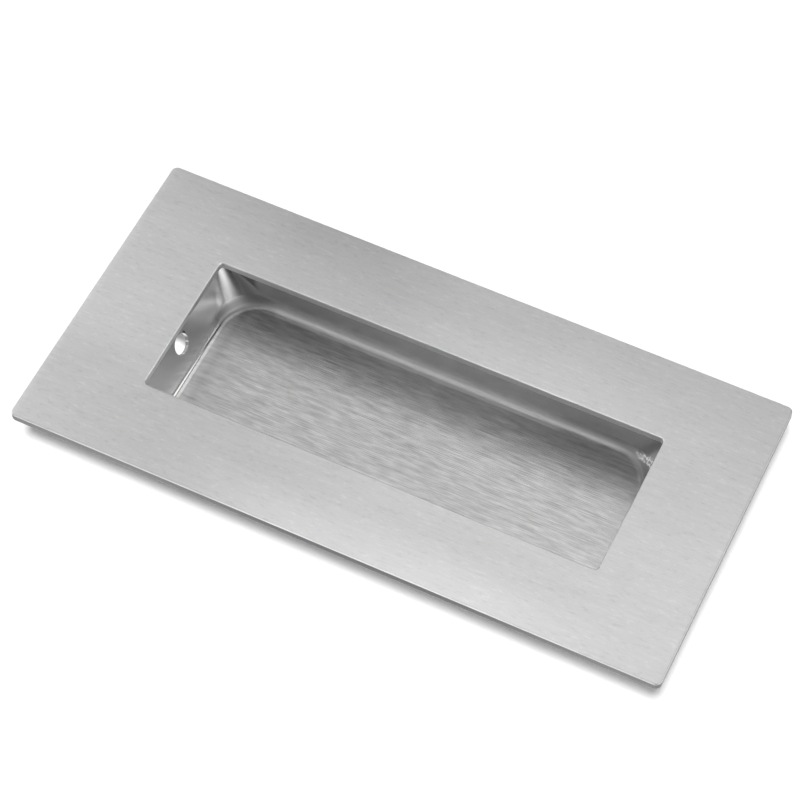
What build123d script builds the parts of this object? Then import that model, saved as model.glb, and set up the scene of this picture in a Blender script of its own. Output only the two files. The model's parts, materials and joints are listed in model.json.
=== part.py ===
"""Recessed pull handle: a flat face plate with a pressed cup welded behind its opening.

The handle is let into a cut-out in a sliding door or a drawer front. The plate lies on the
surface, the cup hangs in the cut-out, and a screw goes out through each slanted end wall.

The XY plane is the back of the plate, which seats on the door. +Z points out of the door,
+X runs along the handle, and the origin is at the middle of the plate. Sizes are in mm.
"""

import os
from math import cos, radians, sin, tan

from build123d import *

# Face plate: flat sheet with a square-cut opening.
PLATE_LENGTH = 150.0
PLATE_WIDTH = 75.0
PLATE_THICKNESS = 2.0
PLATE_CORNER_RADIUS = 1.5
OPENING_LENGTH = 106.0
OPENING_WIDTH = 36.0
OPENING_CORNER_RADIUS = 1.0
BROKEN_EDGE = 0.2  # chamfer that takes the sharpness off the cut edges

# Recess cup: pressed from one sheet, open towards the plate. Radii are those of the inside.
CUP_SHEET = 1.0
CUP_DEPTH = 13.5  # from the back of the plate down to the floor
FINGER_LIP = 3.75  # how far the plate reaches over the inside of the rim, all round
END_WALL_SLANT = 23.0  # degrees off upright, so that a screwdriver reaches the screws
RIM_CORNER_RADIUS = 1.5  # between an end wall and a long wall, at the rim
FLOOR_CORNER_RADIUS = 10.0  # the same corner at the floor: it opens like a cone
CUP_BEND_RADIUS = 2.0  # between the walls and the floor

# Screw holes: one in the middle of each end wall, square to the wall.
SCREW_HOLE_DIAMETER = 5.0
SCREW_HOLE_DROP = 7.0  # from the back of the plate down to the hole's centre

# Weld tacks: they hold the cup's rim to the back of the plate, on flat stretches of wall.
TACK_LENGTH = 6.0
TACK_LEG = 1.6
SIDE_TACKS = 3  # along each long wall
SIDE_TACK_PITCH = 38.0
END_TACKS = 2  # along each end wall
END_TACK_PITCH = 18.0

# The cup's size, worked out from the opening and the lip.
SLANT_RUN = tan(radians(END_WALL_SLANT))  # how far an end wall comes in, for each mm of drop
SLANTED_SHEET = CUP_SHEET / cos(radians(END_WALL_SLANT))  # the end wall's sheet, cut level
INNER_HALF_LENGTH = OPENING_LENGTH / 2 + FINGER_LIP
INNER_HALF_WIDTH = OPENING_WIDTH / 2 + FINGER_LIP
OUTER_HALF_LENGTH = INNER_HALF_LENGTH + SLANTED_SHEET
OUTER_HALF_WIDTH = INNER_HALF_WIDTH + CUP_SHEET
OUTER_DEPTH = CUP_DEPTH + CUP_SHEET

os.makedirs("parts", exist_ok=True)


# ---- face plate ----
with BuildPart() as face_plate:
    with BuildSketch():
        RectangleRounded(PLATE_LENGTH, PLATE_WIDTH, PLATE_CORNER_RADIUS)
        RectangleRounded(
            OPENING_LENGTH, OPENING_WIDTH, OPENING_CORNER_RADIUS, mode=Mode.SUBTRACT
        )
    extrude(amount=PLATE_THICKNESS)
    back_edges = face_plate.edges().group_by(Axis.Z)[0]
    front_edges = face_plate.edges().group_by(Axis.Z)[-1]
    chamfer(back_edges + front_edges, BROKEN_EDGE)

face_plate.part.label = "face_plate"
export_step(face_plate.part, "parts/face_plate.step")


# ---- recess cup ----
# The outside and the inside of the cup are the same form, one sheet thickness apart.
SKINS = [
    (OUTER_HALF_LENGTH, OUTER_HALF_WIDTH, OUTER_DEPTH, CUP_SHEET),
    (INNER_HALF_LENGTH, INNER_HALF_WIDTH, CUP_DEPTH, 0),
]
skins = []
for half_length, half_width, depth, sheet in SKINS:
    # The ends slant inwards on the way down, the long walls are upright.
    with BuildPart() as skin:
        with BuildSketch():
            RectangleRounded(2 * half_length, 2 * half_width, RIM_CORNER_RADIUS + sheet)
        foot_half_length = half_length - depth * SLANT_RUN
        with BuildSketch(Plane.XY.offset(-depth)):
            RectangleRounded(2 * foot_half_length, 2 * half_width, FLOOR_CORNER_RADIUS + sheet)
        loft(ruled=True)
        foot = skin.faces().sort_by(Axis.Z)[0]
        fillet(foot.edges(), CUP_BEND_RADIUS + sheet)
    skins.append(skin.part)

with BuildPart() as recess_cup:
    outside, inside = skins
    add(outside)
    add(inside, mode=Mode.SUBTRACT)

    # A screw hole through each end wall, along the wall's normal.
    for end in (-1, 1):
        hole_place = Plane(
            origin=(
                end * (INNER_HALF_LENGTH - SCREW_HOLE_DROP * SLANT_RUN),
                0,
                -SCREW_HOLE_DROP,
            ),
            z_dir=(end * cos(radians(END_WALL_SLANT)), 0, -sin(radians(END_WALL_SLANT))),
        )
        with BuildSketch(hole_place):
            Circle(SCREW_HOLE_DIAMETER / 2)
        extrude(amount=2 * CUP_SHEET, both=True, mode=Mode.SUBTRACT)

recess_cup.part.label = "recess_cup"
export_step(recess_cup.part, "parts/recess_cup.step")


# ---- weld tacks ----
def row_places(count, pitch):
    """Places along a seam, evenly spaced about its middle."""
    return [(number - (count - 1) / 2) * pitch for number in range(count)]


# Each seam plane lies in the back of the plate. Its X runs along the seam, its Y outwards.
SIDE_SEAMS = [
    Plane(origin=(along, side * OUTER_HALF_WIDTH, 0), x_dir=(side, 0, 0), z_dir=(0, 0, 1))
    for side in (-1, 1)
    for along in row_places(SIDE_TACKS, SIDE_TACK_PITCH)
]
END_SEAMS = [
    Plane(origin=(end * OUTER_HALF_LENGTH, along, 0), x_dir=(0, -end, 0), z_dir=(0, 0, 1))
    for end in (-1, 1)
    for along in row_places(END_TACKS, END_TACK_PITCH)
]
TACK_TURNS = [(seam, 90) for seam in SIDE_SEAMS]
TACK_TURNS += [(seam, 90 + END_WALL_SLANT) for seam in END_SEAMS]

with BuildPart() as weld_tacks:
    for seam, turn in TACK_TURNS:
        # Half a lens on the plate turns about the seam, down to the wall of the cup.
        with BuildSketch(seam):
            with BuildLine():
                ThreePointArc((-TACK_LENGTH / 2, 0), (0, TACK_LEG), (TACK_LENGTH / 2, 0))
                Line((TACK_LENGTH / 2, 0), (-TACK_LENGTH / 2, 0))
            make_face()
        revolve(axis=Axis(seam.origin, -seam.x_dir), revolution_arc=turn)

weld_tacks.part.label = "weld_tacks"
export_step(weld_tacks.part, "parts/weld_tacks.step")
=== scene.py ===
"""Recessed pull handle in brushed stainless steel, dressed for a studio picture.

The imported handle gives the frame: metres, +Z out of the door, +X along the handle, and the back
of the face plate at Z = 0. Each steel piece is modelled again here with true bends and softened
edges, in the place of its plain solid, and gets a brushed, drawn or welded finish.
"""

import json
from math import cos, pi, radians, sin, tan

import bmesh
import bpy
from bpy.props import FloatProperty, FloatVectorProperty, IntProperty, PointerProperty
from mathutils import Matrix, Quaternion, Vector


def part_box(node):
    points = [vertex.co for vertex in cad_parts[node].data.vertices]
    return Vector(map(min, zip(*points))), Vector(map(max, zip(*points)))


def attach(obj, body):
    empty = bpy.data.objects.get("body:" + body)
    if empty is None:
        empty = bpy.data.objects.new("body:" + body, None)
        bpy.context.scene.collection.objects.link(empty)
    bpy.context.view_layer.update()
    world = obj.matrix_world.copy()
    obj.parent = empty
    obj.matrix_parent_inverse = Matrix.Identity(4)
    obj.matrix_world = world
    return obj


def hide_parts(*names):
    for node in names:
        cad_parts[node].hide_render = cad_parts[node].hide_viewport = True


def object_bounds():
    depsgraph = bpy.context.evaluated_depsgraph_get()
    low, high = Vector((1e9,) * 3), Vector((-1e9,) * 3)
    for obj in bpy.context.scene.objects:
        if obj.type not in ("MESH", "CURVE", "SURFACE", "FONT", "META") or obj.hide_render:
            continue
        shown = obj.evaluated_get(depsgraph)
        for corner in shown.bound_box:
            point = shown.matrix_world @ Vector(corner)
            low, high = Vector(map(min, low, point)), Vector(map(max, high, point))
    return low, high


bl_info = {
    "name": "Recessed Pull Handle",
    "version": (1, 0, 0),
    "blender": (4, 5, 0),
    "location": "3D View > Sidebar > Pull Handle",
    "description": "Models and finishes a brushed steel recessed pull handle",
    "category": "Object",
}

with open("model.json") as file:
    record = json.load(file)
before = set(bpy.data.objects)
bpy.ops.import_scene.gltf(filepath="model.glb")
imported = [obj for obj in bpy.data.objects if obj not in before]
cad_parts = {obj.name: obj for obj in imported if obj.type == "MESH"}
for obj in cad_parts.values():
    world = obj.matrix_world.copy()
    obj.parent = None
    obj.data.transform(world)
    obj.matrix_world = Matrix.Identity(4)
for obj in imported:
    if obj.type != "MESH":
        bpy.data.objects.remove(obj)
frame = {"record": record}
CAD_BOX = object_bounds()
PLATE_LOW, PLATE_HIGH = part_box("face_plate")
CUP_LOW, CUP_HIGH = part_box("recess_cup")
SCREW_HOLES = [m for m in frame["record"]["mounts"] if m["kind"] == "bore"]
BODY = "root"


# ---------------------------------------------------------------------------
# Sizes and colours that a user may change
# ---------------------------------------------------------------------------
class HandleSizes(bpy.types.PropertyGroup):
    """Sizes of the handle that the frame's boxes don't give."""

    opening_length: FloatProperty(
        name="Opening length", description="Length of the opening in the face plate",
        default=0.106, unit="LENGTH")
    opening_width: FloatProperty(
        name="Opening width", description="Width of the opening in the face plate",
        default=0.036, unit="LENGTH")
    plate_corner: FloatProperty(
        name="Plate corner", description="Corner radius of the face plate",
        default=0.0015, unit="LENGTH")
    opening_corner: FloatProperty(
        name="Opening corner", description="Corner radius of the opening",
        default=0.001, unit="LENGTH")
    soft_edge: FloatProperty(
        name="Soft edge", description="Radius left on the plate's cut edges by polishing",
        default=0.0003, unit="LENGTH")
    sheet: FloatProperty(
        name="Cup sheet", description="Thickness of the sheet that the cup is pressed from",
        default=0.001, unit="LENGTH")
    wall_slant: FloatProperty(
        name="End wall slant", description="How far the cup's end walls lean off upright",
        default=radians(23), subtype="ANGLE")
    rim_corner: FloatProperty(
        name="Rim corner", description="Inside radius between the cup's walls, at the rim",
        default=0.0015, unit="LENGTH")
    floor_corner: FloatProperty(
        name="Floor corner", description="Inside radius between the cup's walls, at the floor",
        default=0.010, unit="LENGTH")
    floor_bend: FloatProperty(
        name="Floor bend", description="Inside radius between the walls and the floor",
        default=0.002, unit="LENGTH")


class TackSizes(bpy.types.PropertyGroup):
    """Sizes of the weld tacks behind the face plate."""

    length: FloatProperty(
        name="Length", description="Length of one tack", default=0.006, unit="LENGTH")
    leg: FloatProperty(
        name="Leg", description="Height of a tack at its middle", default=0.0016, unit="LENGTH")
    ripples: IntProperty(
        name="Ripples", description="Ripples along one tack", default=5, min=1)
    side_count: IntProperty(
        name="Side tacks", description="Tacks along each long wall", default=3, min=1)
    side_pitch: FloatProperty(
        name="Side pitch", description="Distance between tacks along a long wall",
        default=0.038, unit="LENGTH")
    end_count: IntProperty(
        name="End tacks", description="Tacks along each end wall", default=2, min=1)
    end_pitch: FloatProperty(
        name="End pitch", description="Distance between tacks along an end wall",
        default=0.018, unit="LENGTH")


class SteelColours(bpy.types.PropertyGroup):
    """Tones of the steel's finishes."""

    brushed: FloatVectorProperty(
        name="Brushed", description="Brushed face of the plate", subtype="COLOR",
        default=(0.60, 0.60, 0.60))
    # The cut edges' darkness is partly the duller cut metal and partly painted shade on the plate's
    # upright sides.
    cut: FloatVectorProperty(
        name="Cut edge", description="Sawn and broken edges of the plate", subtype="COLOR",
        default=(0.24, 0.24, 0.24))
    drawn: FloatVectorProperty(
        name="Drawn", description="Pressed walls and bends of the cup", subtype="COLOR",
        default=(0.64, 0.64, 0.64))
    weld: FloatVectorProperty(
        name="Weld", description="Weld tacks", subtype="COLOR", default=(0.42, 0.41, 0.40))
    straw_tint: FloatVectorProperty(
        name="Heat tint", description="Straw tint left by welding", subtype="COLOR",
        default=(0.42, 0.30, 0.16))
    paste: FloatVectorProperty(
        name="Paste", description="Polishing paste dried in a corner of the cup",
        subtype="COLOR", default=(0.62, 0.62, 0.62))


class StudioSettings(bpy.types.PropertyGroup):
    """The camera, the lights and the floor."""

    azimuth: FloatProperty(
        name="Azimuth", description="Camera's turn to the right of straight in front",
        default=radians(24.11), subtype="ANGLE")
    elevation: FloatProperty(
        name="Elevation", description="Camera's height above the level", default=radians(56.03),
        subtype="ANGLE")
    roll: FloatProperty(
        name="Roll", description="Camera's turn about its own line of sight",
        default=radians(1.68), subtype="ANGLE")
    distance: FloatProperty(
        name="Distance", description="From the camera to the point that it aims at",
        default=0.6225, unit="LENGTH")
    aim: FloatVectorProperty(
        name="Aim", description="The point that the camera aims at", subtype="TRANSLATION",
        default=(-0.00177, 0.00224, 0.002))
    lens: FloatProperty(
        name="Lens", description="Focal length in millimetres", default=130.98)
    lamp_strength: FloatProperty(
        name="Lamp strength", description="Strength of the lamp that lights the floor",
        default=3.6)
    lamp_softness: FloatProperty(
        name="Lamp softness", description="Angle that the floor's lamp spans",
        default=radians(11), subtype="ANGLE")


# ---------------------------------------------------------------------------
# Shader expressions
# ---------------------------------------------------------------------------
class Shade:
    """A socket's value. Python's operators on it add Math nodes."""

    def __init__(self, tree, socket):
        self.tree, self.socket = tree, socket

    def _math(self, operation, *values):
        return self.tree.node("ShaderNodeMath", {"operation": operation}, list(values))

    def __add__(self, other):
        return self._math("ADD", self, other)

    def __radd__(self, other):
        return self._math("ADD", other, self)

    def __sub__(self, other):
        return self._math("SUBTRACT", self, other)

    def __rsub__(self, other):
        return self._math("SUBTRACT", other, self)

    def __mul__(self, other):
        return self._math("MULTIPLY", self, other)

    def __rmul__(self, other):
        return self._math("MULTIPLY", other, self)

    def __neg__(self):
        return self._math("MULTIPLY", self, -1.0)

    def at_least(self, other):
        return self._math("MAXIMUM", self, other)

    def at_most(self, other):
        return self._math("MINIMUM", self, other)

    def size(self):
        return self._math("ABSOLUTE", self)


class ShaderTree:
    """A node tree under construction."""

    def __init__(self, node_tree):
        self.node_tree = node_tree
        node_tree.nodes.clear()

    def node(self, kind, settings=None, inputs=None, output=0):
        """Adds a node: its settings first, then the values or links of its sockets."""
        made = self.node_tree.nodes.new(kind)
        for name, value in (settings or {}).items():
            setattr(made, name, value)
        inputs = inputs or {}
        pairs = enumerate(inputs) if isinstance(inputs, list) else inputs.items()
        for key, value in pairs:
            if isinstance(value, Shade):
                self.node_tree.links.new(value.socket, made.inputs[key])
            else:
                made.inputs[key].default_value = value
        return Shade(self, made.outputs[output]) if len(made.outputs) else made

    def ramp(self, value, start, end):
        """Eases from 0 to 1 while value goes from start to end, upwards or downwards."""
        return self.node(
            "ShaderNodeMapRange", {"interpolation_type": "SMOOTHSTEP", "clamp": True},
            {"Value": value, "From Min": start, "From Max": end, "To Min": 0.0, "To Max": 1.0})

    def noise(self, place, scale, detail=2.0, roughness=0.5, stretch=(1.0, 1.0, 1.0)):
        """Noise from 0 to 1, of so many lumps a metre, stretched by its own factors."""
        stretched = self.node(
            "ShaderNodeVectorMath", {"operation": "MULTIPLY"}, [place, stretch])
        return self.node(
            "ShaderNodeTexNoise", {"noise_dimensions": "3D"},
            {"Vector": stretched, "Scale": scale, "Detail": detail, "Roughness": roughness})

    def tint(self, factor, first, second):
        """The first colour where factor is 0 and the second where it is 1."""
        return self.node(
            "ShaderNodeMix", {"data_type": "RGBA"},
            {0: factor, 6: first, 7: second}, output=2)

    def spot(self, place, centre, radius, core):
        """A round spot: 1 within its core and 0 from its radius on."""
        reach = self.node(
            "ShaderNodeVectorMath", {"operation": "DISTANCE"}, [place, centre], output=1)
        return self.ramp(reach, radius, core)

    def scaled_colour(self, colour, factor):
        return self.node(
            "ShaderNodeVectorMath", {"operation": "SCALE"}, {0: colour, "Scale": factor})


def opaque(colour):
    """A colour with its alpha."""
    return (*colour, 1.0)


def new_material(name):
    material = bpy.data.materials.new(name)
    material.use_nodes = True
    return material, ShaderTree(material.node_tree)


def place_and_axes(tree):
    """Object coordinates, and their X, Y and Z."""
    place = tree.node("ShaderNodeTexCoord", output=3)
    axes = tree.node("ShaderNodeSeparateXYZ", inputs={0: place}).socket.node
    return place, [Shade(tree, socket) for socket in axes.outputs]


def finish_metal(tree, colour, roughness, bump_height, relief, bare=1.0):
    """Ends the tree in metal, with relief in metres. bare is 0 where something covers it."""
    bump = tree.node(
        "ShaderNodeBump", inputs={"Strength": 1.0, "Distance": relief, "Height": bump_height})
    metal = tree.node(
        "ShaderNodeBsdfPrincipled",
        inputs={"Base Color": colour, "Metallic": bare, "Roughness": roughness, "Normal": bump})
    tree.node("ShaderNodeOutputMaterial", inputs={"Surface": metal})


# ---------------------------------------------------------------------------
# Materials
# ---------------------------------------------------------------------------
# along, across and height are a point's X, Y and Z in the handle's frame, so that the places
# where a shading starts and ends are in metres. A tone multiplies a finish's colour.
FACE_TONE = 0.765
EDGE_HIGHLIGHT_TONE = 0.42  # painted highlight that the rounded edges have over the face
CUT_IN_OPENING = 2.1  # painted light that the opening's cut sides have over the outer ones
FLOOR_TONE = -0.655  # what the floor between its brush lines has over the drawn tone
HOLE_SHADE_PLACE = (-0.0543, 0.0020, -0.0057)  # where painted shade darkens the edge of the left screw hole
PASTE_START = 0.0445  # where the seam of paste leaves the cup's floor, on its way to the right
PASTE_HEIGHT = 0.00065  # the seam's height over the floor at its start
PASTE_CLIMB = 0.41  # how steeply the seam rises round the corner


def brush_lines(tree, place):
    """Fine and coarse lines along the handle, each from 0 to 1."""
    fine = tree.noise(place, 5200.0, detail=2.0, roughness=0.6, stretch=(0.02, 1.0, 1.0))
    coarse = tree.noise(place, 1900.0, detail=2.0, roughness=0.6, stretch=(0.045, 1.0, 1.0))
    return fine, coarse


def plate_steel():
    """Brushed face with painted reflections and highlights, and darker cut edges, partly painted
    shade.
    """
    colours = bpy.context.scene.handle_colours
    material, tree = new_material("plate_brushed")
    place, (along, across, _) = place_and_axes(tree)
    fine, coarse = brush_lines(tree, place)
    normal = tree.node("ShaderNodeNewGeometry", output=1)
    level = tree.node("ShaderNodeSeparateXYZ", inputs={0: normal}, output=2).size()
    upright = tree.ramp(level, 0.35, 0.05)
    broken = tree.ramp(level, 0.99, 0.92)

    tone = FACE_TONE + plate_grain(tree, place, fine, coarse) + plate_shading(tree, along, across)
    opening = round_opening(tree, along, across)
    right_side = tree.ramp(PLATE_HIGH.x - along, 0.0012, 0.0005)
    tone = tone + broken * edge_shading(tree, along, across, opening, right_side)
    face = tree.scaled_colour(colours.brushed, tone)

    # Painted light and shade on the cut sides: lighter round the opening, darker in the middle of
    # the front and on the right.
    front_side = tree.ramp(across - PLATE_LOW.y, 0.0015, 0.0005)
    shaded = front_side * tree.ramp((along - 0.008).size(), 0.055, 0.015)
    cut_tone = 1.0 + opening * CUT_IN_OPENING - shaded * 0.30 - right_side * 0.16
    cut = tree.scaled_colour(colours.cut, cut_tone)
    colour = tree.tint(upright, face, cut)
    roughness = 0.30 + fine * 0.12 + upright * 0.12
    finish_metal(tree, colour, roughness, fine, relief=0.00002)
    return material


def plate_grain(tree, place, fine, coarse):
    """Brush lines, short dashes, flecks and soft clouds."""
    cloud = tree.noise(place, 38.0, detail=2.0, stretch=(0.5, 1.0, 1.0))
    dash = tree.noise(place, 900.0, detail=3.0, roughness=0.65, stretch=(0.10, 1.0, 1.0))
    speck = tree.noise(place, 1700.0, detail=2.0, roughness=0.6, stretch=(0.32, 1.0, 1.0))
    flecks = tree.ramp(speck, 0.57, 0.72) - tree.ramp(speck, 0.43, 0.28)
    return fine * 0.05 + coarse * 0.04 + dash * 0.16 + cloud * 0.16 + flecks * 0.085


def plate_shading(tree, along, across):
    """Painted reflections and shade: the face is brighter to the right, at the front and at its left
    rim, and darker on the left, at the back and towards the front.
    """
    back_shade = tree.ramp((along + 0.030).size(), 0.032, 0.0) * tree.ramp(across, 0.018, 0.036)
    corner_shade = tree.ramp(along, -0.008, -0.040) * tree.ramp(across, -0.005, -0.022)
    bright_front = tree.ramp((along - 0.010).size(), 0.060, 0.020)
    bright_front = bright_front * tree.ramp(across, -0.024, -0.0365)
    bright_back = tree.ramp((along - 0.020).size(), 0.036, 0.012)
    bright_back = bright_back * tree.ramp(across, 0.032, 0.021) * tree.ramp(across, 0.0, 0.018)
    left_rim = tree.ramp(along - PLATE_LOW.x, 0.0018, 0.0)
    painted_shade = back_shade * 0.12 + corner_shade * 0.09
    return along * 0.35 + bright_front * 0.15 + bright_back * 0.07 + left_rim * 0.09 - painted_shade


def round_opening(tree, along, across):
    """1 on the opening's cut sides and just round them, 0 further out."""
    sizes = bpy.context.scene.handle_sizes
    near_end = tree.ramp(along.size() - sizes.opening_length / 2, 0.007, 0.003)
    near_side = tree.ramp(across.size() - sizes.opening_width / 2, 0.006, 0.002)
    return near_end * near_side


def edge_shading(tree, along, across, opening, right_side):
    """Painted highlights on the rounded edges, most of all round the opening, and painted shade on
    them on the right.
    """
    back_lip = opening * tree.ramp(across, 0.0, 0.01) * tree.ramp(along, -0.015, 0.030)
    front_lip = opening * tree.ramp(across, 0.0, -0.01)
    return EDGE_HIGHLIGHT_TONE + back_lip * 0.26 + front_lip * 0.25 - right_side * 0.46


def cup_steel():
    """Floor brushed along the handle, walls and bends left smooth by the press."""
    colours, sizes = bpy.context.scene.handle_colours, bpy.context.scene.handle_sizes
    material, tree = new_material("cup_drawn")
    place, (along, across, height) = place_and_axes(tree)
    over_floor = height - (CUP_LOW.z + sizes.sheet)
    on_floor = tree.ramp(over_floor, 0.0003, 0.00005)
    in_bend = tree.ramp(over_floor, 1.75 * sizes.floor_bend, 0.9 * sizes.floor_bend) - on_floor
    fine, coarse = brush_lines(tree, place)

    tone = 1.0 + on_floor * floor_shading(tree, place, along, across, fine, coarse)
    tone = tone + wall_shading(tree, along, across, over_floor, on_floor, in_bend)
    # Painted shade: a dark spot on the edge of the left screw hole.
    hole_rim_shade = tree.spot(place, HOLE_SHADE_PLACE, radius=0.0009, core=0.00036)
    steel = tree.scaled_colour(colours.drawn, tone * (1.0 - hole_rim_shade * 0.8))
    paste = dried_paste(tree, place, along, across, over_floor)
    colour = tree.tint(paste, steel, opaque(colours.paste))
    end_bend = tree.ramp(across.size(), 0.015, 0.010) * tree.ramp(along.size(), 0.040, 0.046)
    roughness = 0.20 + on_floor * (0.16 + fine * 0.1) + in_bend * (0.26 - end_bend * 0.36)
    finish_metal(tree, colour, roughness, fine * on_floor, relief=0.00006, bare=1.0 - paste)
    return material


def floor_shading(tree, place, along, across, fine, coarse):
    """Broken brush lines, which fade where the floor runs into its bends, and painted light:
    brighter to the right, near the left end and towards the back wall.
    """
    dash = tree.noise(place, 1050.0, detail=2.0, roughness=0.6, stretch=(0.20, 1.0, 1.0))
    lines = fine * 0.12 + coarse * 0.18 + dash * 0.70
    left_end = tree.ramp(along, -0.041, -0.049) + tree.ramp(along, -0.0474, -0.0494)
    near_back = tree.ramp(across, 0.012, 0.018) * tree.ramp(along.size(), 0.040, 0.005)
    back_foot = tree.ramp(across, 0.0194, 0.0200) * tree.ramp(along, 0.036, 0.018)
    back_foot = back_foot * tree.ramp(along, -0.050, -0.040)
    # Painted light: the floor grows brighter to the right, near the left end, near the back and at
    # the back wall's foot.
    bright = along * 2.0 + left_end * 0.25 + near_back * 0.25 + back_foot * 0.50
    return FLOOR_TONE + lines * 1.15 + bright


def wall_shading(tree, along, across, over_floor, on_floor, in_bend):
    """Painted shade on the long walls and corners, a painted highlight in the bend along the long
    walls, and a painted reflection on the left end wall.
    """
    sizes = bpy.context.scene.handle_sizes
    bend = sizes.floor_bend
    off_long_wall = CUP_HIGH.y - sizes.sheet - across.size()
    # Painted shade on the long walls, in the left back corner's bend and on the right corner's walls
    # and bend.
    long_wall = tree.ramp(over_floor, 0.75 * bend, 1.5 * bend)
    long_wall = long_wall * tree.ramp(off_long_wall, 0.00225, 0.00075)
    left_corner = tree.ramp(along, -0.040, -0.045) * tree.ramp(across, 0.009, 0.013)
    right_corner = tree.ramp(along, 0.038, 0.046) * tree.ramp(across, 0.004, 0.010)
    right_corner = right_corner * tree.ramp(across, 0.0206, 0.0180)
    painted_shade = long_wall * 0.25 + in_bend * left_corner * 0.38 + (1.0 - on_floor) * right_corner * 0.38
    # A painted highlight in the bend at the foot of the long walls.
    pressed = tree.ramp(over_floor, 0.95 * bend, 0.4 * bend) - on_floor
    pressed = pressed * tree.ramp(off_long_wall, 0.00325, 0.00225)
    pressed = pressed * tree.ramp(along.size(), 0.046, 0.040)
    # A painted reflection: a paler stretch of the left end wall, whose lower edge slopes down to the
    # back.
    end_wall_reflection = tree.ramp(along, -0.046, -0.050) * tree.ramp(across, 0.0190, 0.0165)
    end_wall_reflection = end_wall_reflection * tree.ramp(across + over_floor * 0.7, 0.00945, 0.01345)
    end_wall_reflection = end_wall_reflection * (1.0 - in_bend - on_floor)
    return pressed * 0.40 + end_wall_reflection * 0.50 - painted_shade


def dried_paste(tree, place, along, across, over_floor):
    """Crumbs of dried polishing paste in the bend at the right back corner."""
    past_start = along - PASTE_START
    off_seam = (over_floor - PASTE_HEIGHT - past_start * PASTE_CLIMB).size()
    seam = tree.ramp(off_seam, 0.0017, 0.0004) * tree.ramp(past_start, -0.0030, 0.0040)
    seam = seam * tree.ramp(across, 0.0165, 0.0185)
    crumbs = tree.noise(place, 2300.0, detail=2.0, roughness=0.6)
    return tree.ramp(crumbs + seam * 0.30, 0.77, 0.83)


def weld_steel():
    """Rippled weld metal with a straw tint in places."""
    colours = bpy.context.scene.handle_colours
    material, tree = new_material("weld_bead")
    place, _ = place_and_axes(tree)
    grain = tree.noise(place, 1400.0, detail=3.0)
    tinted = tree.ramp(tree.noise(place, 420.0), 0.45, 0.65)
    colour = tree.tint(tinted * 0.6, opaque(colours.weld), opaque(colours.straw_tint))
    finish_metal(tree, colour, 0.32 + grain * 0.25, grain, relief=0.00004)
    return material


# ---------------------------------------------------------------------------
# Shared mesh steps
# ---------------------------------------------------------------------------
SHARP_ANGLE = radians(50)  # edges that turn by more than this stay crisp
CORNERS = [(1, 1), (-1, 1), (-1, -1), (1, -1)]  # the sides of X and Y, anticlockwise


def new_piece(name, bm, material):
    """Makes an object of a finished mesh, at the origin."""
    bm.normal_update()
    mesh = bpy.data.meshes.new(name)
    bm.to_mesh(mesh)
    bm.free()
    mesh.materials.append(material)
    piece = bpy.data.objects.new(name, mesh)
    bpy.context.scene.collection.objects.link(piece)
    return piece


def mark_smooth(bm):
    """Shades every face smooth, apart from the edges past the sharp angle."""
    bm.normal_update()
    for face in bm.faces:
        face.smooth = True
    for edge in bm.edges:
        edge.smooth = len(edge.link_faces) == 2 and edge.calc_face_angle() < SHARP_ANGLE


def band(bm, lower, upper):
    """Quads between two closed loops of as many points."""
    for number in range(len(lower)):
        after = (number + 1) % len(lower)
        bm.faces.new((lower[number], lower[after], upper[after], upper[number]))


def settle_normals(piece):
    """Large faces set the normals round them, so that bends run into them without a shadow."""
    weighted = piece.modifiers.new("Weighted normals", "WEIGHTED_NORMAL")
    weighted.weight = 100
    weighted.keep_sharp = True
    bake_modifiers(piece)


def bake_modifiers(piece):
    """Puts the modifiers' result into the mesh and removes them."""
    graph = bpy.context.evaluated_depsgraph_get()
    result = bpy.data.meshes.new_from_object(piece.evaluated_get(graph))
    piece.modifiers.clear()
    old = piece.data
    piece.data = result
    bpy.data.meshes.remove(old)
    result.name = piece.name


def settle(piece, node):
    """The piece stands for the node, whose plain solid it hides, and rides on the handle's body."""
    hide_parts(node)
    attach(piece, BODY)


# ---------------------------------------------------------------------------
# Face plate
# ---------------------------------------------------------------------------
def rounded_rectangle(half_length, half_width, radius, steps):
    """Points and outward directions of a rounded rectangle, anticlockwise."""
    points = []
    for number, (side_x, side_y) in enumerate(CORNERS):
        centre = Vector((side_x * (half_length - radius), side_y * (half_width - radius), 0))
        for step in range(steps + 1):
            angle = (number + step / steps) * pi / 2
            outward = Vector((cos(angle), sin(angle), 0))
            points.append((centre + outward * radius, outward))
    return points


def softened_profile(thickness, radius, steps):
    """A cut side from bottom to top, as (inset, height): upright with rounded edges."""
    angles = [pi / 2 * step / steps for step in range(steps + 1)]
    lower = [(radius * (1 - sin(turn)), radius * (1 - cos(turn))) for turn in angles]
    upper = [(inset, thickness - height) for inset, height in reversed(lower)]
    return lower + upper


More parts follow.
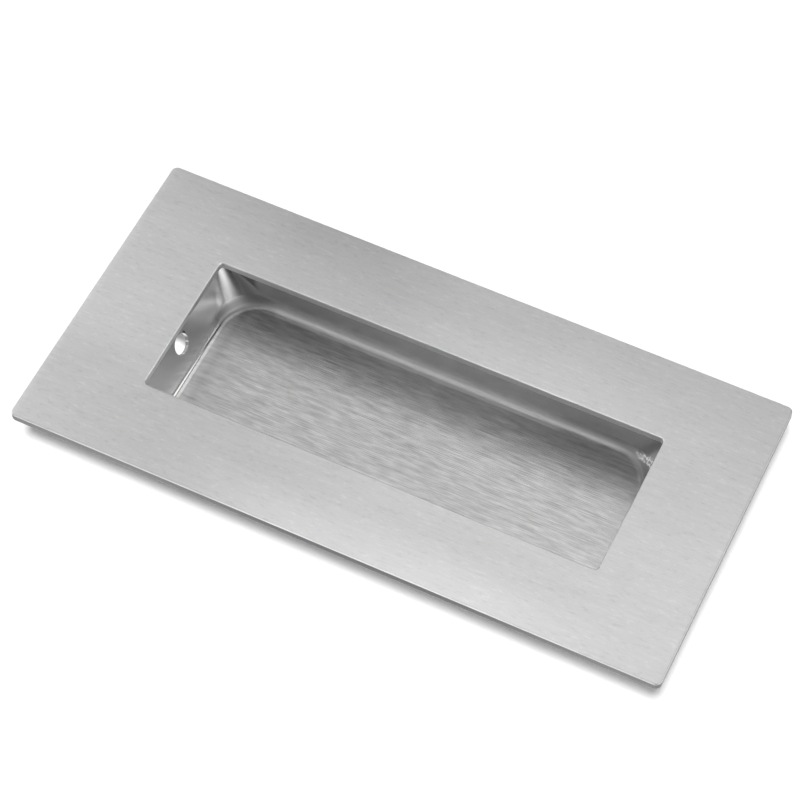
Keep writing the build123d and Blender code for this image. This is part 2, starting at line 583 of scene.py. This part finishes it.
class HANDLE_OT_face_plate(bpy.types.Operator):
    """Model the face plate with its opening and softened edges"""

    bl_idname = "handle.face_plate"
    bl_label = "Face plate"

    corner_steps = 12
    edge_steps = 4

    def execute(self, context):
        sizes = context.scene.handle_sizes
        half_length, half_width = PLATE_HIGH.x, PLATE_HIGH.y
        thickness = PLATE_HIGH.z - PLATE_LOW.z
        if min(half_length - sizes.opening_length / 2, half_width - sizes.opening_width / 2) <= 0:
            raise ValueError("the opening is larger than the face plate")
        outer = rounded_rectangle(
            half_length, half_width, sizes.plate_corner, self.corner_steps)
        inner = rounded_rectangle(
            sizes.opening_length / 2, sizes.opening_width / 2, sizes.opening_corner,
            self.corner_steps)
        side = softened_profile(thickness, sizes.soft_edge, self.edge_steps)
        section = [(outer, -inset, height) for inset, height in side]
        section += [(inner, inset, height) for inset, height in reversed(side)]

        bm = bmesh.new()
        loops = []
        for outline, shift, height in section:
            loops.append([
                bm.verts.new(point + outward * shift + Vector((0, 0, PLATE_LOW.z + height)))
                for point, outward in outline])
        for loop, following in zip(loops, loops[1:] + loops[:1]):
            band(bm, loop, following)
        mark_smooth(bm)
        bmesh.ops.recalc_face_normals(bm, faces=bm.faces)
        piece = new_piece("brushed_face_plate", bm, plate_steel())
        settle_normals(piece)
        settle(piece, "face_plate")
        return {"FINISHED"}


# ---------------------------------------------------------------------------
# Recess cup
# ---------------------------------------------------------------------------
class Column:
    """One line down the cup's wall, round the bend and onto the floor.

    The bend follows a ball that touches the wall and the floor from inside. centre is the
    ball's centre, outward points from it to the wall, and rise runs up the wall.
    """

    def __init__(self, centre, outward, rise):
        self.centre, self.outward, self.rise = centre, outward, rise

    def points(self, radius, top, steps):
        """From the rim down to the floor, at this radius about the ball's centre."""
        touch = self.centre + self.outward * radius
        rim = touch + self.rise * ((top - touch.z) / self.rise.z)
        down = Vector((0, 0, -1))
        turn = self.outward.angle(down)
        bend = []
        for step in range(steps + 1):
            share = step / steps
            direction = (
                self.outward * sin((1 - share) * turn) + down * sin(share * turn)) / sin(turn)
            bend.append(self.centre + direction * radius)
        return [rim] + bend


class HANDLE_OT_recess_cup(bpy.types.Operator):
    """Model the pressed cup with its bends and screw holes"""

    bl_idname = "handle.recess_cup"
    bl_label = "Recess cup"

    corner_steps = 20
    bend_steps = 16
    hole_steps = 48

    def columns(self, sizes):
        """Columns all round the cup, anticlockwise from the middle of the right end wall."""
        slant = sizes.wall_slant
        half_width = CUP_HIGH.y - sizes.sheet
        half_length = CUP_HIGH.x - sizes.sheet / cos(slant)
        floor_height = CUP_LOW.z + sizes.sheet
        foot_half_length = half_length + (floor_height - CUP_HIGH.z) * tan(slant)
        ball_height = floor_height + sizes.floor_bend
        quarters = []
        for side_x, side_y in CORNERS:
            corner = []
            for step in range(self.corner_steps + 1):
                angle = pi / 2 * step / self.corner_steps
                spoke = Vector((side_x * cos(angle), side_y * sin(angle), 0))
                along = Vector((-side_x * sin(angle), side_y * cos(angle), 0))
                # A straight line of the cone that the corner is part of.
                high = Vector((
                    side_x * (half_length - sizes.rim_corner),
                    side_y * (half_width - sizes.rim_corner), CUP_HIGH.z))
                high += spoke * sizes.rim_corner
                low = Vector((
                    side_x * (foot_half_length - sizes.floor_corner),
                    side_y * (half_width - sizes.floor_corner), floor_height))
                low += spoke * sizes.floor_corner
                rise = (high - low).normalized()
                outward = along.cross(rise) * (side_x * side_y)
                centre = high - outward * sizes.floor_bend
                centre += rise * ((ball_height - centre.z) / rise.z)
                corner.append(Column(centre, outward, rise))
            if side_x * side_y < 0:
                corner.reverse()
            quarters.append(corner)
        return [column for corner in quarters for column in corner]

    def execute(self, context):
        sizes = context.scene.handle_sizes
        columns = self.columns(sizes)
        bm = bmesh.new()
        inner = self.skin(bm, columns, sizes.floor_bend)
        outer = self.skin(bm, columns, sizes.floor_bend + sizes.sheet)
        band(bm, inner[0], outer[0])
        mark_smooth(bm)
        bmesh.ops.recalc_face_normals(bm, faces=bm.faces)
        piece = new_piece("drawn_recess_cup", bm, cup_steel())
        for hole in SCREW_HOLES:
            self.drill(piece, hole, sizes)
        settle_normals(piece)
        settle(piece, "recess_cup")
        return {"FINISHED"}

    def skin(self, bm, columns, radius):
        """One skin of the cup. Returns its loops, from the rim down."""
        lines = [column.points(radius, CUP_HIGH.z, self.bend_steps) for column in columns]
        loops = [[bm.verts.new(line[row]) for line in lines] for row in range(len(lines[0]))]
        for upper, lower in zip(loops, loops[1:]):
            band(bm, upper, lower)
        bm.faces.new(loops[-1])
        return loops

    def drill(self, piece, hole, sizes):
        """Cuts a screw hole square through an end wall."""
        place, axis = Vector(hole["pos_m"]), Vector(hole["axis"]).normalized()
        radius = hole["dims"]["r_mm"] / 1000
        cutter = bmesh.new()
        turn = Vector((0, 0, 1)).rotation_difference(axis)
        reach = 3 * sizes.sheet
        rings = []
        for height in (-reach, reach):
            rings.append([
                cutter.verts.new(place + turn @ Vector((
                    radius * cos(2 * pi * step / self.hole_steps),
                    radius * sin(2 * pi * step / self.hole_steps), height)))
                for step in range(self.hole_steps)])
        band(cutter, rings[0], rings[1])
        cutter.faces.new(rings[0])
        cutter.faces.new(rings[1])
        bmesh.ops.recalc_face_normals(cutter, faces=cutter.faces)
        tool = new_piece("hole_cutter", cutter, piece.data.materials[0])
        cut = piece.modifiers.new("Screw hole", "BOOLEAN")
        cut.operation = "DIFFERENCE"
        cut.solver = "EXACT"
        cut.object = tool
        bake_modifiers(piece)
        bpy.data.objects.remove(tool)


# ---------------------------------------------------------------------------
# Weld tacks
# ---------------------------------------------------------------------------
class GeometryTree(ShaderTree):
    """A Geometry Nodes tree under construction. Its sockets take the same expressions."""

    def __init__(self, name, inputs):
        node_tree = bpy.data.node_groups.new(name, "GeometryNodeTree")
        super().__init__(node_tree)
        node_tree.interface.new_socket("Geometry", in_out="OUTPUT", socket_type="NodeSocketGeometry")
        self.identifiers = {}
        for label, kind in inputs:
            made = node_tree.interface.new_socket(label, in_out="INPUT", socket_type=kind)
            self.identifiers[label] = made.identifier
        self.inlet = node_tree.nodes.new("NodeGroupInput")
        self.outlet = node_tree.nodes.new("NodeGroupOutput")

    def given(self, label):
        """The value of one of the tree's own inputs."""
        return Shade(self, self.inlet.outputs[label])

    def end(self, geometry):
        self.node_tree.links.new(geometry.socket, self.outlet.inputs[0])


TACK_INPUTS = [
    ("Count", "NodeSocketInt"),
    ("Pitch", "NodeSocketFloat"),
    ("Length", "NodeSocketFloat"),
    ("Leg", "NodeSocketFloat"),
    ("Ripples", "NodeSocketFloat"),
    ("Turn", "NodeSocketFloat"),
    ("Seed", "NodeSocketInt"),
    ("Material", "NodeSocketMaterial"),
]
TACK_VERTICES = (41, 21)  # along a tack and round its section
BACK_SHARE = 0.2  # the share of a tack's section that each of its two flat backs takes
RIPPLE_DEPTH = 0.05  # as a share of the tack's height
SHORTEST_TACK = 0.86  # as a share of the full length
MERGE_DISTANCE = 1e-6


def tack_row_tree():
    """A row of weld tacks along X. A tack fills the corner from the plate, +Y, to the wall."""
    tree = GeometryTree("weld_tack_row", TACK_INPUTS)
    # The grid runs from -1 to 1 along the tack, and from -0.5 to 0.5 round its section.
    grid = tree.node("GeometryNodeMeshGrid", inputs=[2.0, 1.0, *TACK_VERTICES])
    place = tree.node("GeometryNodeInputPosition")
    axes = tree.node("ShaderNodeSeparateXYZ", inputs={0: place}).socket.node
    along = Shade(tree, axes.outputs[0])
    around = Shade(tree, axes.outputs[1]) + 0.5
    ripple = tree.node(
        "ShaderNodeMath", {"operation": "COSINE"}, [along * tree.given("Ripples") * pi])
    swell = 1.0 - RIPPLE_DEPTH + ripple * RIPPLE_DEPTH
    height = tree.given("Leg") * (1.0 - along * along) * swell
    reach = (around * (1 / BACK_SHARE)).at_most((1.0 - around) * (1 / BACK_SHARE)).at_most(1.0)
    angle = tree.node(
        "ShaderNodeMapRange", {"clamp": True},
        {"Value": around, "From Min": BACK_SHARE, "From Max": 1 - BACK_SHARE, "To Min": 0.0,
         "To Max": tree.given("Turn")})
    out = tree.node("ShaderNodeMath", {"operation": "COSINE"}, [angle])
    down = tree.node("ShaderNodeMath", {"operation": "SINE"}, [angle])
    bent = tree.node(
        "ShaderNodeCombineXYZ",
        inputs=[along * tree.given("Length") * 0.5, height * reach * out, -(height * reach * down)])
    bead = tree.node(
        "GeometryNodeSetPosition", inputs={"Geometry": grid, "Position": bent})
    bead = tree.node(
        "GeometryNodeMergeByDistance", inputs={"Geometry": bead, "Distance": MERGE_DISTANCE})
    span = (tree.given("Count") - 1.0) * tree.given("Pitch")
    start = tree.node("ShaderNodeCombineXYZ", inputs=[span * -0.5, 0.0, 0.0])
    step = tree.node("ShaderNodeCombineXYZ", inputs=[tree.given("Pitch"), 0.0, 0.0])
    row = tree.node(
        "GeometryNodeMeshLine",
        inputs={"Count": tree.given("Count"), "Start Location": start, "Offset": step})
    stretch = tree.node(
        "FunctionNodeRandomValue", {"data_type": "FLOAT"},
        {"Min": SHORTEST_TACK, "Max": 1.0, "Seed": tree.given("Seed")}, output=1)
    scale = tree.node("ShaderNodeCombineXYZ", inputs=[stretch, 1.0, 1.0])
    beads = tree.node(
        "GeometryNodeInstanceOnPoints",
        inputs={"Points": row, "Instance": bead, "Scale": scale})
    solid = tree.node("GeometryNodeRealizeInstances", inputs={"Geometry": beads})
    smooth = tree.node("GeometryNodeSetShadeSmooth", inputs={"Geometry": solid})
    tree.end(tree.node(
        "GeometryNodeSetMaterial",
        inputs={"Geometry": smooth, "Material": tree.given("Material")}))
    return tree


class HANDLE_OT_weld_tacks(bpy.types.Operator):
    """Model the weld tacks that hold the cup behind the plate"""

    bl_idname = "handle.weld_tacks"
    bl_label = "Weld tacks"

    def execute(self, context):
        tacks, sizes = context.scene.handle_tacks, context.scene.handle_sizes
        material = weld_steel()
        tree = tack_row_tree()
        seams = []
        for side in (-1, 1):
            seams.append((
                Vector((0, side * CUP_HIGH.y, 0)), 0 if side > 0 else pi,
                tacks.side_count, tacks.side_pitch, pi / 2))
        for end in (-1, 1):
            seams.append((
                Vector((end * CUP_HIGH.x, 0, 0)), -end * pi / 2,
                tacks.end_count, tacks.end_pitch, pi / 2 + sizes.wall_slant))
        whole = bmesh.new()
        for seed, (middle, heading, count, pitch, turn) in enumerate(seams):
            row = self.row(tree, {
                "Count": count, "Pitch": pitch, "Length": tacks.length, "Leg": tacks.leg,
                "Ripples": float(tacks.ripples), "Turn": turn, "Seed": seed,
                "Material": material})
            bmesh.ops.rotate(
                row, verts=row.verts, cent=(0, 0, 0),
                matrix=Quaternion((0, 0, 1), heading).to_matrix())
            bmesh.ops.translate(row, verts=row.verts, vec=middle)
            part = bpy.data.meshes.new("row")
            row.to_mesh(part)
            row.free()
            whole.from_mesh(part)
            bpy.data.meshes.remove(part)
        bmesh.ops.recalc_face_normals(whole, faces=whole.faces)
        mark_smooth(whole)
        piece = new_piece("rippled_weld_tacks", whole, material)
        settle(piece, "weld_tacks")
        return {"FINISHED"}

    def row(self, tree, values):
        """One row of tacks along X, as a bmesh."""
        holder = bpy.data.objects.new("tack_row", bpy.data.meshes.new("tack_row"))
        bpy.context.scene.collection.objects.link(holder)
        nodes = holder.modifiers.new("Tack row", "NODES")
        nodes.node_group = tree.node_tree
        for label, value in values.items():
            nodes[tree.identifiers[label]] = value
        bake_modifiers(holder)
        if not holder.data.vertices:
            raise RuntimeError("the row of weld tacks came out empty")
        row = bmesh.new()
        row.from_mesh(holder.data)
        bpy.data.objects.remove(holder)
        return row


# ---------------------------------------------------------------------------
# Stage
# ---------------------------------------------------------------------------
# Soft boxes that the steel reflects: name, centre, size, the way that each faces, brightness.
SOFT_BOXES = [
    ("top_box", (0.0125, 0.14, 0.40), (0.315, 0.38), (0, 0, -1), 1.08),
    ("top_left_box", (-0.3225, 0.14, 0.40), (0.255, 0.38), (0, 0, -1), 1.40),
    ("right_box", (0.50, 0.20, 0.24), (0.40, 0.42), (-1, 0, 0), 1.4),
    ("right_front_box", (0.50, -0.20, 0.24), (0.40, 0.42), (-1, 0, 0), 1.7),
    ("front_box", (-0.20, -0.50, 0.155), (0.50, 0.25), (0, 1, 0), 1.5),
    ("high_box", (-0.06, -0.18, 0.50), (0.28, 0.22), (0, 0, -1), 0.72),
    ("back_box", (-0.30, 0.80, 0.25), (1.60, 0.50), (0, -1, 0), 0.5),
    ("left_box", (-0.70, 0.05, 0.25), (0.70, 0.50), (1, 0, 0), 0.8),
]
WHITE = (1.0, 1.0, 1.0)
ROOM_LEVEL = 0.232  # brightness of the room round the soft boxes
LAMP_WAY = (0.09, -0.37, 0.90)  # from the floor to its lamp
FLOOR_GAP = 0.00002  # keeps the floor just clear of the cup
FLOOR_GREY = (0.80, 0.80, 0.80)
FLOOR_GLOW = 0.10
HOLE_LIGHT_X, HOLE_LIGHT_Y = 0.0575, 0.0010  # where the painted pool of light behind the right screw hole lies


class HANDLE_OT_stage(bpy.types.Operator):
    """Set up the floor, the lights and the camera"""

    bl_idname = "handle.stage"
    bl_label = "Stage"

    floor_size = 6.0

    def execute(self, context):
        studio = context.scene.handle_studio
        context.scene.view_settings.view_transform = "Standard"
        self.world(context)
        self.floor()
        self.floor_lamp(studio)
        for box in SOFT_BOXES:
            self.soft_box(*box)
        self.camera(context, studio)
        return {"FINISHED"}

    def world(self, context):
        """A grey room round the soft boxes, white where the camera looks past the floor."""
        world = bpy.data.worlds.new("studio")
        world.use_nodes = True
        context.scene.world = world
        tree = ShaderTree(world.node_tree)
        seen = tree.node("ShaderNodeLightPath", output=0)
        room = tree.node("ShaderNodeBackground", inputs=[opaque(WHITE), ROOM_LEVEL])
        beyond = tree.node("ShaderNodeBackground", inputs=[opaque(WHITE), 1.0])
        mixed = tree.node("ShaderNodeMixShader", inputs=[seen, room, beyond])
        tree.node("ShaderNodeOutputWorld", inputs={"Surface": mixed})

    def floor(self):
        """A pale floor under the cup, which the camera and the steel see as near white."""
        level = CAD_BOX[0].z - FLOOR_GAP
        material, tree = new_material("pale_floor")
        path = tree.node("ShaderNodeLightPath").socket.node
        looked_at = Shade(tree, path.outputs["Is Camera Ray"]).at_least(
            Shade(tree, path.outputs["Is Glossy Ray"])).at_least(
            Shade(tree, path.outputs["Is Transmission Ray"]))
        place, _ = place_and_axes(tree)
        mottle = tree.noise(place, 60.0)
        colour = tree.scaled_colour(FLOOR_GREY, 0.97 + mottle * 0.05)
        diffuse = tree.node("ShaderNodeBsdfDiffuse", inputs={"Color": colour})
        # A painted pool of light on the floor behind each screw hole, standing for light that falls
        # through it.
        right_light, left_light = [
            tree.spot(
                place, (end * HOLE_LIGHT_X, HOLE_LIGHT_Y, level), radius=0.0052, core=0.0028)
            for end in (1, -1)]
        through_holes = (right_light + left_light) * (1 - FLOOR_GLOW)
        lit = tree.scaled_colour(WHITE, FLOOR_GLOW + through_holes)
        glow = tree.node("ShaderNodeEmission", inputs={"Color": lit, "Strength": looked_at})
        surface = tree.node("ShaderNodeAddShader", inputs=[diffuse, glow])
        tree.node("ShaderNodeOutputMaterial", inputs={"Surface": surface})
        bm = bmesh.new()
        bmesh.ops.create_grid(bm, x_segments=1, y_segments=1, size=self.floor_size / 2)
        bmesh.ops.translate(bm, verts=bm.verts, vec=(0, 0, level))
        new_piece("floor", bm, material)

    def floor_lamp(self, studio):
        """One soft lamp, a little above the camera. The steel doesn't mirror it."""
        lamp = bpy.data.lights.new("floor_lamp", "SUN")
        lamp.energy = studio.lamp_strength
        lamp.angle = studio.lamp_softness
        holder = bpy.data.objects.new("floor_lamp", lamp)
        holder.rotation_mode = "QUATERNION"
        holder.rotation_quaternion = Vector(LAMP_WAY).to_track_quat("Z", "Y")
        holder.visible_glossy = False
        bpy.context.scene.collection.objects.link(holder)

    def soft_box(self, name, centre, size, facing, brightness):
        """A soft box that shows in the steel and leaves the floor alone."""
        lamp = bpy.data.lights.new(name, "AREA")
        lamp.shape = "RECTANGLE"
        lamp.size, lamp.size_y = size
        # The power at which a lamp of this size shows at its brightness.
        lamp.energy = brightness * pi * size[0] * size[1]
        holder = bpy.data.objects.new(name, lamp)
        holder.location = centre
        holder.rotation_mode = "QUATERNION"
        holder.rotation_quaternion = Vector(facing).to_track_quat("-Z", "Y")
        holder.visible_diffuse = False
        holder.visible_camera = False
        bpy.context.scene.collection.objects.link(holder)

    def camera(self, context, studio):
        """The camera, aimed from the front, above and a little to the right."""
        camera = bpy.data.cameras.new("camera")
        camera.lens = studio.lens
        camera.sensor_width = 36.0
        holder = bpy.data.objects.new("camera", camera)
        level = cos(studio.elevation)
        back = Vector((
            sin(studio.azimuth) * level, -cos(studio.azimuth) * level, sin(studio.elevation)))
        holder.location = Vector(studio.aim) + back * studio.distance
        holder.rotation_mode = "QUATERNION"
        holder.rotation_quaternion = (
            back.to_track_quat("Z", "Y") @ Quaternion((0, 0, 1), studio.roll))
        context.scene.collection.objects.link(holder)
        context.scene.camera = holder


# ---------------------------------------------------------------------------
# Panel and registration
# ---------------------------------------------------------------------------
class HANDLE_PT_panel(bpy.types.Panel):
    """The handle's pieces and sizes"""

    bl_idname = "HANDLE_PT_panel"
    bl_label = "Pull Handle"
    bl_space_type = "VIEW_3D"
    bl_region_type = "UI"
    bl_category = "Pull Handle"

    def draw(self, context):
        for operator in OPERATORS:
            self.layout.operator(operator.bl_idname)
        for name in GROUPS:
            settings = getattr(context.scene, name)
            box = self.layout.box()
            for label in settings.__annotations__:
                box.prop(settings, label)


GROUPS = {
    "handle_sizes": HandleSizes,
    "handle_tacks": TackSizes,
    "handle_colours": SteelColours,
    "handle_studio": StudioSettings,
}
OPERATORS = [
    HANDLE_OT_face_plate,
    HANDLE_OT_recess_cup,
    HANDLE_OT_weld_tacks,
    HANDLE_OT_stage,
]


def register():
    for cls in [*GROUPS.values(), *OPERATORS, HANDLE_PT_panel]:
        bpy.utils.register_class(cls)
    for name, group in GROUPS.items():
        setattr(bpy.types.Scene, name, PointerProperty(type=group))


def unregister():
    for name in GROUPS:
        delattr(bpy.types.Scene, name)
    for cls in reversed([*GROUPS.values(), *OPERATORS, HANDLE_PT_panel]):
        bpy.utils.unregister_class(cls)


def main():
    """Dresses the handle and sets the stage."""
    register()
    bpy.ops.handle.face_plate()
    bpy.ops.handle.recess_cup()
    bpy.ops.handle.weld_tacks()
    bpy.ops.handle.stage()


if __name__ == "__main__":
    main()
